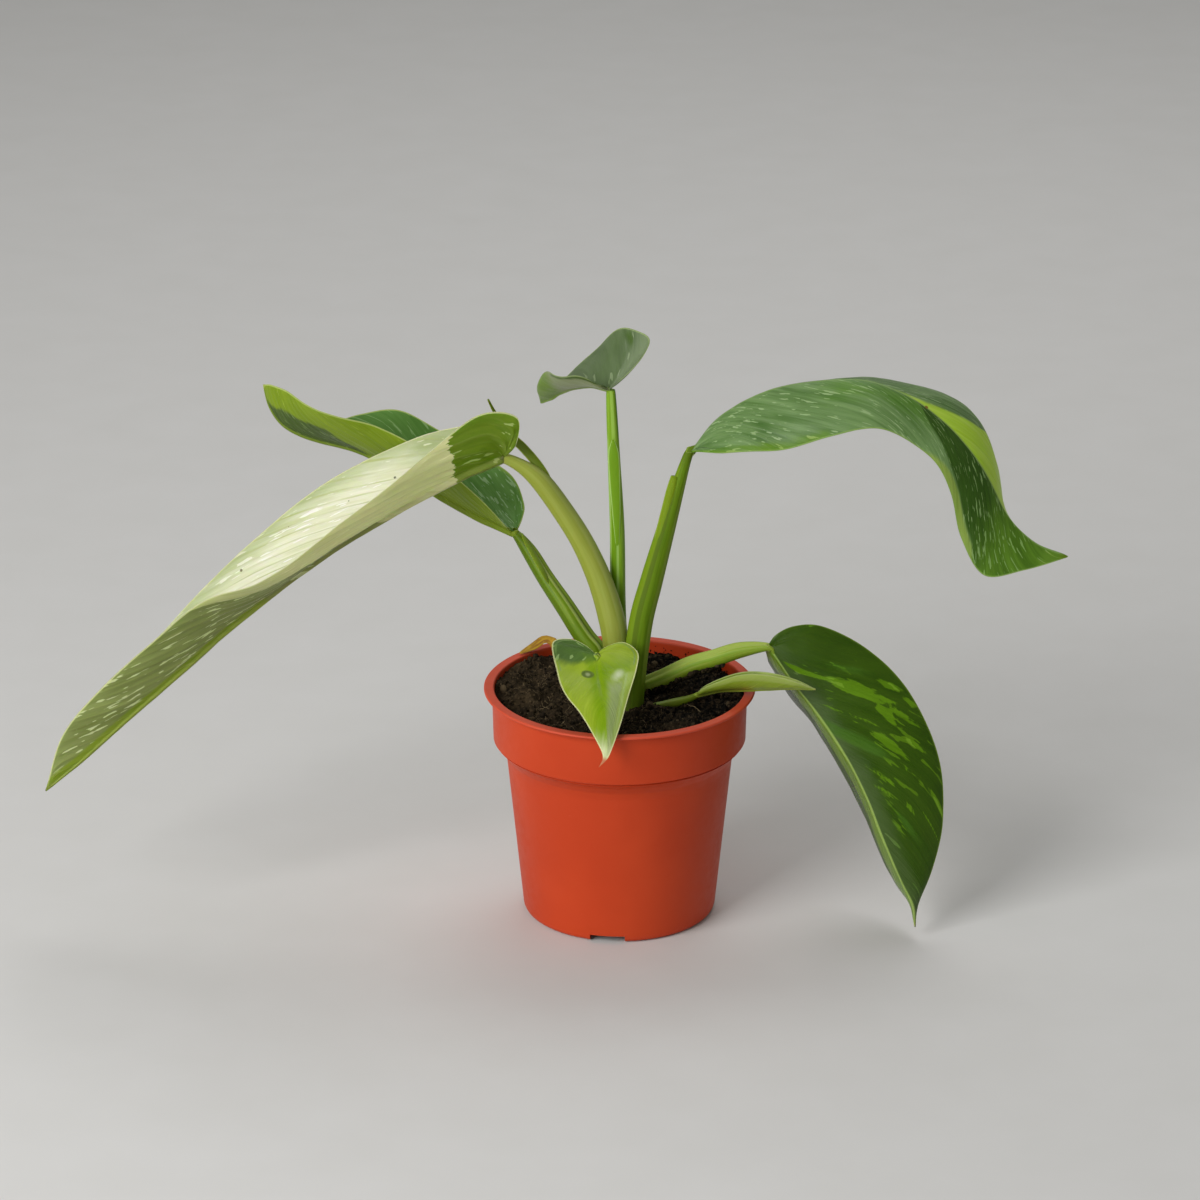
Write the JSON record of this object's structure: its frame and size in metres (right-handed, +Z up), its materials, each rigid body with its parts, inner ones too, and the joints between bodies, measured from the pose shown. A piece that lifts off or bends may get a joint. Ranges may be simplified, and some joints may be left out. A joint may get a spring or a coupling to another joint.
{
  "type": "potted philodendron",
  "caption": "Variegated aroid house plant with long arching leaves on grooved stalks, standing in soil in a round tapered nursery pot.",
  "frame": {"origin": "centre of the pot's foot, on the surface that the pot stands on", "axes": "+Z up, +X towards the big drooping leaf, -Y towards the small leaf that hangs over the front of the rim"},
  "size_m": [0.4029, 0.1304, 0.2384],
  "materials": {
    "pot": "thin terracotta-orange plastic with a soft sheen",
    "soil": "dark crumbly peat with fine fibres",
    "root": "pale fleshy root",
    "petiole_pale": "smooth waxy pale olive stalk",
    "petiole_green": "smooth waxy green stalk",
    "petiole_light": "smooth waxy light green stalk",
    "leaf_cream": "satin leaf, cream with green sectors",
    "leaf_green": "satin leaf, green with pale marbling",
    "leaf_grey_green": "satin leaf, grey-green with a soft sheen",
    "leaf_dark": "glossy dark green leaf with light green blotches",
    "leaf_light": "satin young leaf, yellow-green",
    "withered": "dry yellow and brown leaf remnant"
  },
  "bodies": {
    "root": {"pot": "pot", "soil": "soil", "rootstock": "root", "petiole_left": "petiole_pale", "petiole_back_left": "petiole_green", "petiole_centre": "petiole_green", "petiole_right": "petiole_green", "petiole_low_right": "petiole_light", "petiole_front": "petiole_light", "petiole_new": "petiole_light", "withered_leaf": "withered", "blade_left": "leaf_cream", "blade_back_left": "leaf_green", "blade_centre": "leaf_grey_green", "blade_right": "leaf_green", "blade_low_right": "leaf_dark", "blade_front": "leaf_light", "blade_new": "leaf_light"}
  },
  "joints": []
}
